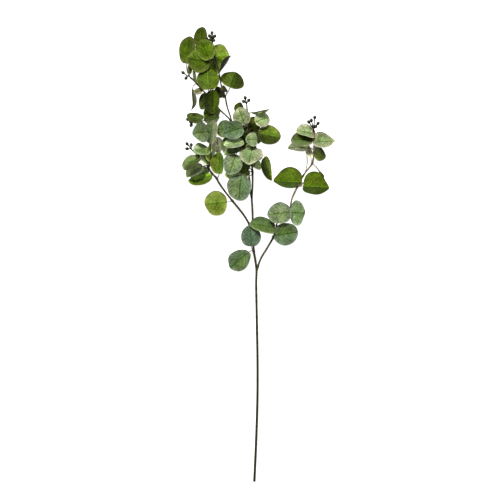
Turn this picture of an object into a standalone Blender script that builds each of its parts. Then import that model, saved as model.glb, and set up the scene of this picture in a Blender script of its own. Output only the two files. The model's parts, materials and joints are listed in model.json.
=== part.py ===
"""A cut eucalyptus branch, lying on a surface: a bare stalk, six leafy twigs and the buds at their ends.

Sizes are in millimetres until the meshes are made. Places are in the branch's drawing frame: x runs to the
right and y up the stalk from just below its cut end, as the branch is seen from above, and z is the height
above the surface that it lies on.
"""

import math
import random
from collections import namedtuple

import bpy
import numpy as np

# The drawing frame's point that becomes the origin: the middle of the branch, on the surface.
MIDDLE = (4.11, 460.43)
MM = 0.001

STALK_SIDES = 8
TWIG_SIDES = 6
PETIOLE_SIDES = 4
STEPS_PER_SPAN = 2  # points of a smooth path for each span between the points that it runs through
NODE_SWELLING = 1.3  # how much thicker a twig is where leaves grow from it
SOCKET_LENGTH = 14.5  # the stub on a stem that carries a side twig
SOCKET_WALL = 0.5
JOINT_GAP = 0.3  # between the flat ends of a stub and its twig

PETIOLE_RADIUS = 0.95
PETIOLE_STEPS = 3
PETIOLE_ROOT = 5.0  # how far a leaf's own stalk runs on into its blade

BLADE_THICKNESS = 0.8
BLADE_SECTORS = 14
BLADE_RINGS = (1.0,)
CREASE = 3.0  # how round the fold along a midrib is

BUD_LENGTH = 9.0
BUD_RADIUS = 3.5
BUD_SIDES = 5
BUD_STALK_RADIUS = 1.35

# side is UPPER where the face that grows towards the light is the one seen from above, and UNDER where the
# leaf is turned over. facing is the slope of that face in x and y, before it is squared to the leaf's line.
# fold is how steeply the two halves of the blade rise from the midrib, where that isn't left to chance.
# taper is how much wider the blade is towards its base than towards its tip.
UPPER, UNDER = 1, -1
Leaf = namedtuple("Leaf", "name node base tip width facing side fold taper", defaults=[None, 0.0])
Twig = namedtuple("Twig", "name parent fork radii path leaves buds")

STALK_RADIUS = 2.6
STALK_END = STALK_RADIUS * math.cos(math.pi / STALK_SIDES)  # its axis's height where it rests on a flat side

TWIGS = [
    Twig(
        "stalk", None, 0, (STALK_RADIUS, 2.3),
        [
            (-1.4, 4.6, STALK_END), (-0.8, 17, STALK_END), (-0.2, 30, STALK_END), (2.4, 90, 4.5),
            (4.8, 170, 9), (5, 250, 14), (3.6, 330, 19), (2.4, 400, 23.5), (3, 428, 25), (1.4, 444, 26),
            (-0.4, 456, 27), (-2.6, 468, 28), (-4, 490, 29.5), (-6, 512, 31), (-5.6, 519, 31.2),
            (-5.2, 526, 31.4),
        ],
        [
            Leaf("stalk_low", 11, (-12, 466, 27), (-50.4, 434, 29), 41, (-0.1, -0.1), UPPER, None, -0.25),
            Leaf("stalk_front", 11, (-7, 477, 35), (-9.8, 521, 40), 41, (0, 0.1), UPPER),
        ],
        [],
    ),
    Twig(
        "right_twig", "stalk", 8, (2.1, 1.8),
        [
            (3, 428, 25), (11.4, 452, 26), (23.6, 472.6, 28), (36, 494, 30), (42, 508, 31),
            (43.6, 522, 31.5), (53, 536, 32), (69, 551, 34), (73.8, 572, 34), (85, 597, 34), (96, 618, 34),
            (106, 632, 34), (114.6, 644, 34), (118, 666, 35), (118.6, 688, 36), (117, 704, 38),
        ],
        [
            Leaf("right_1_left", 3, (40, 514, 31), (-10, 523, 47), 46, (0, 0.9), UPPER),
            Leaf("right_1_right", 3, (37, 499, 36), (86, 506, 33), 46, (0, -0.1), UPPER),
            Leaf("right_2_left", 7, (73, 546, 39), (24, 540, 43), 44, (0, 0.05), UPPER),
            Leaf("right_2_right", 7, (70, 545.2, 34), (102, 543.4, 4), 50, (0.9, 0), UPPER, None, 0.35),
            Leaf("right_3_left", 9, (94, 605, 39), (36.4, 608, 36), 50, (0, -0.65), UNDER, 0.65, 0.1),
            Leaf("right_3_right", 9, (96, 597.4, 37), (148.4, 595.4, 36), 54, (0, -0.6), UNDER, 0.6, 0.1),
            Leaf("right_4_edge", 12, (127, 630, 31), (138, 620, -4), 36, (3.2, 1.5), UNDER),
            Leaf("right_4_back", 13, (119, 677, 29), (142, 658, 0), 40, (0.9, 0.6), UNDER),
            Leaf("right_4_left", 12, (111.5, 655, 29), (106.5, 680, 22), 16, (0.4, 0.3), UNDER),
            Leaf("right_5_top", 14, (120, 700, 31), (82, 708, 36), 43, (0, 1.2), UPPER),
            Leaf("right_5_left", 14, (115, 688, 37), (71, 691, 34), 42, (0, 0.9), UPPER),
            Leaf("right_5_low", 13, (106, 675, 24), (66, 675, 17), 34, (0, -1.4), UNDER),
            Leaf("right_5_back", 10, (100, 674, 22), (93, 694, 16), 24, (0, 0.3), UNDER),
            Leaf("right_5_right", 14, (115, 685, 41), (160.6, 687, 38), 43, (0, 0.9), UPPER, None, 0.3),
        ],
        [(107.4, 726, 40), (119.4, 735, 42), (126, 723, 43), (112.6, 729.4, 38), (121.4, 717, 41)],
    ),
    Twig(
        "left_twig", "stalk", 13, (2.4, 1.7),
        [
            (-6, 512, 31), (-19, 534.6, 30.5), (-31, 551, 30), (-45.4, 568.4, 31), (-60, 587, 32),
            (-72.6, 605, 32), (-76.8, 613.4, 32), (-86.6, 624, 32), (-93, 634, 31), (-101, 648, 31),
            (-111, 658, 30), (-119, 664, 29.5), (-124.4, 668.8, 29),
        ],
        [
            Leaf("left_1", 3, (-55.8, 566, 34), (-101, 561, 34), 51, (0, 0), UNDER),
            Leaf("left_2_up", 6, (-72, 622, 34), (-71, 666, 34), 43, (1.2, 0), UNDER),
            Leaf("left_2_low", 6, (-86, 619, 36), (-133.4, 606, 38), 30, (0.3, 1.1), UNDER),
            Leaf("left_2_back", 7, (-92, 627, 26), (-130, 613, -3), 34, (-0.2, 0.3), UPPER),
            Leaf("left_3", 8, (-104, 637, 37), (-138.4, 615, 39), 40, (-0.56, 0.95), UPPER),
            Leaf("left_4", 10, (-110.4, 656, 46), (-143, 631, 53), 40, (-0.75, 0.95), UPPER),
            Leaf("left_5", 10, (-92, 672.6, 42), (-121.4, 667.6, 56), 41, (0, 1.1), UPPER),
            Leaf("left_6", 8, (-95, 640, 41), (-104, 671, 40), 33, (1.1, -0.2), UPPER),
            Leaf("left_7", 8, (-89, 648, 42), (-90, 682, 54), 32, (3.5, 0), UNDER),
            Leaf("left_8", 8, (-87, 656, 36), (-82, 682, 40), 26, (-3.5, 0.3), UNDER),
        ],
        [(-136, 682.4, 32), (-127.6, 680.4, 33), (-136, 672.6, 31)],
    ),
    Twig(
        "middle_left_twig", "left_twig", 8, (1.6, 1.2),
        [
            (-93, 634, 31), (-91.6, 644, 25), (-89, 660, 19), (-90, 680, 17), (-95, 698, 18),
            (-104, 714, 20), (-114, 724.4, 22), (-121, 727, 22.5),
        ],
        [
            Leaf("middle_left_pale", 2, (-73, 665, 10), (-75, 697, 9), 36, (1.0, 0), UNDER),
            Leaf("middle_left_front", 5, (-94.6, 706.6, 40), (-124.8, 701.6, 64), 43, (0.8, 0.15), UPPER),
            Leaf("middle_left_side", 3, (-88, 682, 36), (-82, 730, 40), 44, (-1.2, 0.1), UPPER),
            Leaf("middle_left_top", 6, (-104, 732.6, 30), (-136.4, 741, 24), 34, (0.1, 1.1), UNDER),
            Leaf("middle_left_back", 5, (-102, 736, 10), (-72, 744, 8), 38, (0, -0.5), UNDER),
            Leaf("middle_left_small", 5, (-102, 730, 20), (-71, 736, 20), 27, (0, -1.4), UPPER),
        ],
        [(-134.8, 731.4, 26), (-129, 726.6, 28), (-128, 720, 26)],
    ),
    Twig(
        "centre_twig", "stalk", None, (2.3, 1.6),
        [
            (-5.2, 526, 31.4), (-4.8, 533, 31.6), (-4.8, 542, 31.6), (-5.6, 558, 31.5), (-6.4, 574, 31.5),
            (-5, 596, 31.5), (-5, 626, 31.5), (-8, 650, 31), (-11.4, 676, 30.5), (-14, 702, 31),
            (-15.4, 722, 32.5), (-15.4, 744, 34), (-16.4, 759, 34.5),
        ],
        [
            Leaf("centre_low_left", 6, (-27, 620, 40), (-32, 568.6, 35), 53, (-0.35, 0), UPPER),
            Leaf("centre_low_behind", 6, (-18, 634, 28), (-62, 618, 30), 26, (0, 0.4), UNDER),
            Leaf("centre_low_right", 7, (19, 655.6, 24), (33, 609.4, -3), 27, (0.8, 0), UNDER, None, 0.2),
            Leaf("centre_dark", 6, (-4, 636, 27), (6, 652, 10), 32, (0.5, 0.6), UNDER),
            Leaf("centre_left_disc", 7, (-38, 661, 44), (-52, 620, 48), 40, (0, 0), UPPER),
            Leaf("centre_left_behind", 7, (-36, 638, 35), (-9, 637, 37), 30, (0, 0.2), UNDER),
            Leaf("centre_low_pale", 6, (-11, 620, 26), (-28, 628, 24), 18, (0, 0.3), UPPER),
            Leaf("centre_low_front", 8, (-5, 674, 42), (-13, 641, 70), 46, (0, 0.88), UPPER),
            Leaf("centre_green", 8, (-10, 662, 38), (-5, 688, 38), 22, (0, 0), UPPER),
            Leaf("centre_pink", 8, (-2, 664, 33), (17, 658, 29), 26, (0.2, 0.3), UNDER),
            Leaf("centre_shadow", 8, (-28, 674, 36), (-62, 661, 37), 34, (0, 1.6), UPPER),
            Leaf("centre_left_low", 8, (-38, 679, 26), (-67.6, 677, 26), 42, (0, 0), UNDER),
            Leaf("centre_left_front", 8, (-22, 684, 50), (-62, 678.4, 54), 40, (0, 1.5), UPPER),
            Leaf("centre_small", 9, (4, 690, 44), (-19, 690, 64), 29, (0.87, 0.1), UPPER),
            Leaf("centre_left_high", 10, (-24, 714, 51), (-65, 702, 53), 38, (0.2, 0.15), UPPER),
            Leaf("centre_left_back", 9, (-46, 713, 30), (-78, 711, 23), 40, (0, 0.5), UPPER),
            Leaf("centre_hidden", 9, (-4, 712, 27), (8, 684, 14), 33, (-1, 0), UNDER),
            Leaf("centre_right", 9, (7, 705, 33), (52, 696, 27), 40, (0, 0.1), UNDER),
            Leaf("centre_right_high", 10, (0, 726, 40), (29, 736, 24), 32, (0.6, 0.2), UPPER),
            Leaf("centre_middle", 10, (-13, 704, 26), (8, 736, 22), 33, (0.4, 0), UNDER),
            Leaf("centre_deep", 8, (-20, 668, 27), (-27, 724, 26), 26, (-0.2, 0), UNDER),
            Leaf("centre_right_edge", 11, (-7, 744.6, 36), (29, 752, 30), 24, (0.8, 3.4), UNDER),
            Leaf("centre_top", 10, (-20.4, 720, 42), (-33, 754.6, 48), 37, (-0.2, 0.1), UPPER),
            Leaf("centre_top_back", 11, (-28, 737, 30), (-29, 766, 24), 31, (1, 0), UNDER),
        ],
        [(-19.6, 774.4, 37), (-23, 767, 38), (-12.4, 769.4, 36)],
    ),
    Twig(
        "top_twig", "centre_twig", 4, (1.9, 1.3),
        [
            (-6.4, 574, 31.5), (-8.8, 588, 26.5), (-10.8, 610, 21), (-17, 638, 17), (-27, 668, 15),
            (-37, 696, 15), (-44, 719, 17), (-49.6, 738, 20), (-56, 758, 22), (-59.8, 778, 25),
            (-66, 793, 28), (-70.6, 816, 30.4), (-74.4, 836, 33), (-80.4, 856, 34), (-83, 873, 35),
            (-84.6, 883, 36),
        ],
        [
            Leaf("top_right_low", 9, (-50, 795.4, 28), (-39, 826, 20), 50, (0.1, 0.2), UNDER, 0.4),
            Leaf("top_dark", 9, (-64, 776, 21), (-76, 798, 12), 28, (0.8, 0.2), UNDER),
            Leaf("top_curled", 9, (-58, 786, 34), (-64, 799, 40), 20, (-1.2, -0.8), UPPER),
            Leaf("top_right", 12, (-84, 856, 31), (-51.4, 862, 16), 50, (0.5, -0.1), UNDER),
            Leaf("top_middle", 11, (-76, 822, 22), (-88, 856, 24), 28, (-0.3, 0), UNDER),
            Leaf("top_right_edge", 11, (-69.5, 827, 38), (-46.4, 859.4, 41), 34, (3.9, -3.4), UNDER),
            Leaf("top_front", 13, (-91, 850, 52), (-108.6, 890, 57), 40, (-0.3, 0), UNDER),
            Leaf("top_left_wide", 13, (-89, 846, 41), (-137, 853, 46), 50, (0, 0.1), UNDER),
            Leaf("top_last", 14, (-108, 872, 34), (-106, 916.4, 34), 31, (0.5, 0), UNDER),
        ],
        [(-86, 904, 37), (-80.6, 897.4, 40), (-91, 898, 37), (-97, 893, 36), (-82, 889, 42),
         (-88.4, 891, 42), (-85.4, 896.4, 43)],
    ),
    Twig(
        "top_left_twig", "top_twig", 6, (1.7, 1.3),
        [
            (-44, 719, 17), (-52, 733, 23), (-62.6, 743.4, 29), (-73, 753, 33), (-84, 767, 37),
            (-96, 780.4, 40), (-108, 792.6, 42), (-116.4, 802, 42), (-125, 811.4, 41), (-131.6, 816.8, 40),
        ],
        [
            Leaf("top_left_veined", 5, (-93, 790.4, 43), (-95.6, 837, 35), 46, (0, 0), UNDER),
            Leaf("top_left_low", 5, (-97, 782, 32), (-108, 752, 22), 31, (-0.3, 0.6), UNDER),
            Leaf("top_left_inner", 4, (-77, 758, 38), (-86, 736, 38), 24, (-0.4, 0.2), UNDER),
            Leaf("top_left_hanging", 5, (-84, 790, 45), (-86, 742, 42), 33, (0.3, 0.2), UNDER),
            Leaf("top_left_pale", 6, (-105, 789, 37), (-123, 786, 34), 15, (0, 0.3), UNDER),
            Leaf("top_left_edge", 7, (-125, 792, 38), (-127, 748, 34), 34, (4, 0), UPPER),
            Leaf("top_left_slim", 7, (-117, 806, 36), (-122, 832, 33), 18, (2.4, 0), UNDER),
            Leaf("top_left_outer", 8, (-136.6, 843, 30), (-131, 898, 30), 45, (0.9, 0), UNDER),
            Leaf("top_left_back", 8, (-131, 822, 29), (-130, 844, 27), 11, (0, 0), UNDER),
        ],
        [(-144, 824.4, 42), (-138, 813.4, 40)],
    ),
]

Material = namedtuple("Material", "colour roughness")
STEM_GREEN = Material((0.12, 0.13, 0.05), 0.6)
LEAF_GREEN = Material((0.20, 0.29, 0.13), 0.6)
BUD_BROWN = Material((0.06, 0.07, 0.03), 0.55)


def unit(vector):
    return np.asarray(vector, float) / np.linalg.norm(vector)


def smooth(points, steps):
    """A Catmull-Rom curve through the points, with that many steps in each span."""
    points = np.asarray(points, float)
    ends = np.vstack([2 * points[0] - points[1], points, 2 * points[-1] - points[-2]])
    curve = []
    for before, start, end, after in zip(ends, ends[1:], ends[2:], ends[3:]):
        for step in range(steps):
            t = step / steps
            curve.append(
                start
                + 0.5 * t * (end - before)
                + 0.5 * t**2 * (2 * before - 5 * start + 4 * end - after)
                + 0.5 * t**3 * (3 * start - before - 3 * end + after)
            )
    return np.array(curve + [points[-1]])


def stretch(points, values, start, end=math.inf):
    """The part of a polyline between two lengths along it, with the values that belong to its points."""
    lengths = np.concatenate([[0], np.cumsum(np.linalg.norm(np.diff(points, axis=0), axis=1))])
    end = min(end, lengths[-1])
    inside = lengths[(lengths > start) & (lengths < end)]
    wanted = np.concatenate([[start], inside, [end]])
    kept = np.column_stack([np.interp(wanted, lengths, points[:, axis]) for axis in range(3)])
    return kept, np.interp(wanted, lengths, values)


def tube(points, radii, sides):
    """Vertices and triangles of a closed round tube. It has a flat side below where it runs level."""
    directions = [unit(after - before) for before, after in zip(points, points[1:])]
    corners = [unit(before + after) for before, after in zip(directions, directions[1:])]
    directions = [directions[0], *corners, directions[-1]]
    up = np.array([0.0, 0.0, 1.0])
    vertices = []
    for point, radius, direction in zip(points, radii, directions):
        up = unit(up - up.dot(direction) * direction)
        across = np.cross(direction, up)
        for side in range(sides):
            angle = 2 * math.pi * (side + 0.5) / sides
            vertices.append(point + radius * (math.sin(angle) * across - math.cos(angle) * up))
    faces = []
    for ring in range(len(points) - 1):
        for side in range(sides):
            a, b = ring * sides + side, ring * sides + (side + 1) % sides
            faces += [(a, b + sides, b), (a, a + sides, b + sides)]
    last = (len(points) - 1) * sides
    for side in range(1, sides - 1):
        faces += [(0, side, side + 1), (last, last + side + 1, last + side)]
    return np.array(vertices), faces


class Blade:
    """The blade of one leaf: a nearly round sheet, creased along its midrib, with a point at its tip."""

    def __init__(self, leaf):
        chance = random.Random(leaf.name)
        self.base, tip = np.array(leaf.base, float), np.array(leaf.tip, float)
        self.length = np.linalg.norm(tip - self.base)
        self.width, self.taper = leaf.width, leaf.taper
        self.along = unit(tip - self.base)
        face = np.array([*leaf.facing, 1.0])
        self.up = leaf.side * unit(face - face.dot(self.along) * self.along)
        self.across = np.cross(self.up, self.along)
        self.point_out, self.notch = chance.uniform(0.03, 0.12), chance.uniform(0.02, 0.1)
        self.fold = chance.uniform(0.12, 0.3) if leaf.fold is None else leaf.fold
        self.arch = chance.uniform(0.02, 0.07) * self.length
        self.curl = chance.uniform(-0.02, 0.06) * self.width
        self.wave = chance.uniform(0.01, 0.03) * self.width
        self.rim_wave = chance.uniform(0.008, 0.02)
        self.phases = [chance.uniform(0, 2 * math.pi) for _ in range(3)]

    def reach(self, angle):
        """How far the outline is from the blade's middle, at an angle from its tip, where 1 is round."""
        tip = self.point_out * math.exp(-((angle / 0.35) ** 2))
        base = self.notch * math.exp(-(((math.pi - abs(angle)) / 0.3) ** 2))
        waves = math.cos(3 * angle + self.phases[0]) + math.cos(5 * angle + self.phases[1])
        return 1 + tip - base + self.rim_wave * waves

    def place(self, share, angle):
        """The point of the middle surface, at a share of the way from the blade's middle to its outline."""
        reach_tip, reach_base = self.reach(0.0), self.reach(math.pi)
        reach = self.reach(angle) * share
        run = (reach * math.cos(angle) + reach_base) / (reach_tip + reach_base)
        out = 0.5 * self.width * reach * math.sin(angle) * (1 - self.taper * share * math.cos(angle))
        height = (
            self.fold * (math.hypot(out, CREASE) - CREASE)
            + self.arch * 4 * run * (1 - run)
            - self.curl * share**4 * math.cos(0.5 * angle) ** 2
            + self.wave * share**3 * math.sin(3 * angle + self.phases[2])
            + self.wave * share**3 * math.sin(self.phases[2]) * math.sin(0.5 * angle) ** 2
        )
        return self.base + run * self.length * self.along + out * self.across + height * self.up

    def root(self, depth):
        """A point on the midrib, that far in from the base."""
        run = depth / self.length
        return self.base + depth * self.along + self.arch * 4 * run * (1 - run) * self.up

    def solid(self):
        """Vertices and triangles, the same on both faces. What the surface presses on is flat."""
        angles = [-math.pi + 2 * math.pi * sector / BLADE_SECTORS for sector in range(BLADE_SECTORS)]
        middle = [self.place(0.0, 0.0)]
        middle += [self.place(share, angle) for share in BLADE_RINGS for angle in angles]
        middle = np.array(middle)
        half = 0.5 * BLADE_THICKNESS
        middle[:, 2] = np.maximum(middle[:, 2], half * abs(self.up[2]))
        count = len(middle)
        vertices = np.vstack([middle + half * self.up, middle - half * self.up])
        vertices[:, 2] = np.maximum(vertices[:, 2], 0.0)
        top = []
        for sector in range(BLADE_SECTORS):
            after = (sector + 1) % BLADE_SECTORS
            top.append((0, 1 + sector, 1 + after))
            for ring in range(len(BLADE_RINGS) - 1):
                a, b = 1 + ring * BLADE_SECTORS + sector, 1 + ring * BLADE_SECTORS + after
                top += [(a, a + BLADE_SECTORS, b + BLADE_SECTORS), (a, b + BLADE_SECTORS, b)]
        faces = top + [(c + count, b + count, a + count) for a, b, c in top]
        rim = 1 + (len(BLADE_RINGS) - 1) * BLADE_SECTORS
        for sector in range(BLADE_SECTORS):
            a, b = rim + sector, rim + (sector + 1) % BLADE_SECTORS
            faces += [(a, a + count, b + count), (a, b + count, b)]
        return vertices, faces


def petiole(start, blade):
    """The leaf's own stalk, from the twig's axis to inside the blade, along the blade's line at its end."""
    base, root = blade.root(0.0), blade.root(PETIOLE_ROOT)
    reach = np.linalg.norm(base - start)
    pull = 0.6 * reach
    path = []
    for step in range(PETIOLE_STEPS):
        t = step / PETIOLE_STEPS
        bend = start + t * (base - pull * blade.along - start)
        path.append((1 - t) * bend + t * (base - (1 - t) * pull * blade.along))
    points = np.array(path + [base, root])
    points[:, 2] = np.maximum(points[:, 2], PETIOLE_RADIUS)
    return tube(points, [PETIOLE_RADIUS] * len(points), PETIOLE_SIDES)


def twig_line(twig):
    """The twig's smooth axis and its radius at each point, thicker where leaves grow."""
    points = smooth(twig.path, STEPS_PER_SPAN)
    radii = np.linspace(*twig.radii, len(points))
    for node in {leaf.node for leaf in twig.leaves}:
        radii[node * STEPS_PER_SPAN] *= NODE_SWELLING
    return points, radii


def twig_pieces(twig):
    """The solids of one leafy twig: its stem, the stubs for its side twigs, its petioles and blades."""
    points, radii = twig_line(twig)
    start = 0.0
    if twig.parent:
        start = JOINT_GAP if twig.fork is None else SOCKET_LENGTH + JOINT_GAP
    stem = tube(*stretch(points, radii, start), STALK_SIDES if twig.parent is None else TWIG_SIDES)
    pieces = {twig.name: stem}
    for other in TWIGS:
        if other.parent == twig.name and other.fork is not None:
            line, widths = stretch(*twig_line(other), 0.0, SOCKET_LENGTH)
            pieces[other.name + "_stub"] = tube(line, widths + SOCKET_WALL, TWIG_SIDES)
    for leaf in twig.leaves:
        blade = Blade(leaf)
        pieces[leaf.name + "_petiole"] = petiole(np.array(twig.path[leaf.node], float), blade)
        pieces[leaf.name] = blade.solid()
    return pieces


def bud(base, tip):
    """One bud: narrow where it joins its stalk, round in the middle and capped with a blunt point."""
    profile = [(0.0, 0.4), (0.5, 1.0), (1.0, 0.3)]
    line = np.array([base + share * (tip - base) for share, _ in profile])
    return tube(line, [BUD_RADIUS * share for _, share in profile], BUD_SIDES)


def bud_pieces(twig):
    """The solids of the buds at a twig's end: a stem in line with the twig, and each bud on its stalk."""
    points, _ = twig_line(twig)
    ahead = unit(points[-1] - points[-2])
    start = points[-1] + JOINT_GAP * ahead
    head = start + 0.35 * (np.mean(twig.buds, axis=0) - start)
    stem = tube(np.array([start, start + 2 * ahead, head]), [twig.radii[1], 1.1, 1.1], TWIG_SIDES)
    pieces = {twig.name.replace("_twig", "_buds"): stem}
    for number, place in enumerate(twig.buds, start=1):
        place = np.array(place, float)
        way = unit(place - head)
        base, tip = place - 0.5 * BUD_LENGTH * way, place + 0.5 * BUD_LENGTH * way
        line = np.array([start + 2.5 * ahead, head, base + 2.0 * way])
        if np.linalg.norm(base - head) < 2.5:
            line = np.array([start + 2.5 * ahead, base + 2.5 * way])
        pieces[f"bud_stalk_{number}"] = tube(line, [BUD_STALK_RADIUS] * len(line), PETIOLE_SIDES)
        pieces[f"bud_{number}"] = bud(base, tip)
    return pieces


def make_material(name, look):
    material = bpy.data.materials.new(name)
    material.use_nodes = True
    shader = material.node_tree.nodes["Principled BSDF"]
    shader.inputs["Base Color"].default_value = (*look.colour, 1.0)
    shader.inputs["Roughness"].default_value = look.roughness
    shader.inputs["Metallic"].default_value = 0.0
    return material


def make_object(name, shape, collection):
    """A mesh object from a solid in the drawing frame, moved to the part's own frame, in metres."""
    vertices, faces = shape
    places = (vertices - np.array([*MIDDLE, 0.0])) * MM
    places[:, 2] = np.maximum(places[:, 2], 0.0)
    mesh = bpy.data.meshes.new(name)
    mesh.from_pydata(places.tolist(), [], faces)
    made = bpy.data.objects.new(name, mesh)
    collection.objects.link(made)
    return made


def join(pieces, material):
    """One object: the first piece, with all the others joined to it by a Boolean union."""
    scene = bpy.context.scene.collection
    (name, first), *rest = pieces.items()
    body = make_object(name, first, scene)
    repeats = bpy.data.collections.new(name + "_repeats")
    scene.children.link(repeats)
    for other, shape in rest:
        make_object(other, shape, repeats)
    union = body.modifiers.new("join", "BOOLEAN")
    union.operation = "UNION"
    union.operand_type = "COLLECTION"
    union.collection = repeats
    union.solver = "EXACT"
    bpy.context.view_layer.update()
    graph = bpy.context.evaluated_depsgraph_get()
    joined = bpy.data.meshes.new_from_object(body.evaluated_get(graph))
    body.modifiers.clear()
    body.data = joined
    body.data.name = name
    body.data.materials.clear()
    body.data.materials.append(material)
    for other in list(repeats.objects):
        bpy.data.objects.remove(other)
    bpy.data.collections.remove(repeats)
    return body


def main():
    for old in list(bpy.data.objects):
        bpy.data.objects.remove(old)
    for twig in TWIGS:
        look = STEM_GREEN if twig.parent is None else LEAF_GREEN
        join(twig_pieces(twig), make_material(twig.name, look))
        if twig.buds:
            buds = bud_pieces(twig)
            join(buds, make_material(next(iter(buds)), BUD_BROWN))


if __name__ == "__main__":
    main()
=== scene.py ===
"""A cut eucalyptus branch lying on a pale floor, seen from above: round leaves with veins and coloured rims
that carry a painted highlight and painted shade, smooth stems with swollen nodes, and small ribbed buds.

Sizes are in millimetres until the meshes are made. Places are in the branch's drawing frame: x runs to the
right and y up the stalk from just below its cut end, as the branch is seen from above, and z is the height
above the floor.
"""

import json
import math
import random
from collections import namedtuple

import bpy
import numpy as np
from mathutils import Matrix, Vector

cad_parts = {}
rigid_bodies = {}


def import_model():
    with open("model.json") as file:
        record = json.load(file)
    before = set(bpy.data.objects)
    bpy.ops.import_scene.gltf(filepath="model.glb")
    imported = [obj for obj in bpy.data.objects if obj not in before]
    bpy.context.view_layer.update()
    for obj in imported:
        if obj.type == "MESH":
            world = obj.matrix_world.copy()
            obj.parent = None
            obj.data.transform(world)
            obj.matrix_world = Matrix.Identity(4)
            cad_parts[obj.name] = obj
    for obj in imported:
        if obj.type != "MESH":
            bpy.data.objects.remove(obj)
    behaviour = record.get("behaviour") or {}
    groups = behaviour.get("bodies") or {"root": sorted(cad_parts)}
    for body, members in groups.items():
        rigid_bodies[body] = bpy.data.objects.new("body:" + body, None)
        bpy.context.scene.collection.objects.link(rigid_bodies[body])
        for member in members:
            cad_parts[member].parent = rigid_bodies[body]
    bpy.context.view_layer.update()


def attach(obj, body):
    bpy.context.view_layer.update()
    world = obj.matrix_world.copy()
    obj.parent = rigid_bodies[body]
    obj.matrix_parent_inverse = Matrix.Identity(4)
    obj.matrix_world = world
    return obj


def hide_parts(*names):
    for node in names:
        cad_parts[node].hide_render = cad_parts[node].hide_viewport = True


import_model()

# The drawing frame's point that becomes the origin: the middle of the branch, on the floor.
MIDDLE = (4.11, 460.43)
MM = 0.001

# A leaf grows from the point of its twig's path that node numbers. base and tip are the ends of its blade,
# and width is that of its drawn outline. facing is the x and y of the way that the face seen from above
# looks, where z is 1, before it is squared to the leaf's own line. side is UPPER where that face is the one
# that grows towards the light, and UNDER where the leaf is turned over. fold is how steeply the two halves
# rise from the midrib, where that isn't left to chance. taper is how much wider the blade is at its base than
# an even one, and how much narrower at its tip.
UPPER, UNDER = 1, -1
Leaf = namedtuple("Leaf", "name node base tip width facing side fold taper", defaults=[None, 0.0])
# A twig grows from the point of its parent's path that fork numbers, or on from the parent's end where that
# is None. radii are those at its two ends, path is its axis, and buds are the middles of its buds.
Twig = namedtuple("Twig", "name parent fork radii path leaves buds")

STALK_SIDES = 8  # of the solid stalk, whose cut end rests on one of them
STALK_RADIUS = 2.6
STALK_END = STALK_RADIUS * math.cos(math.pi / STALK_SIDES)  # the height of its axis there

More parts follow.
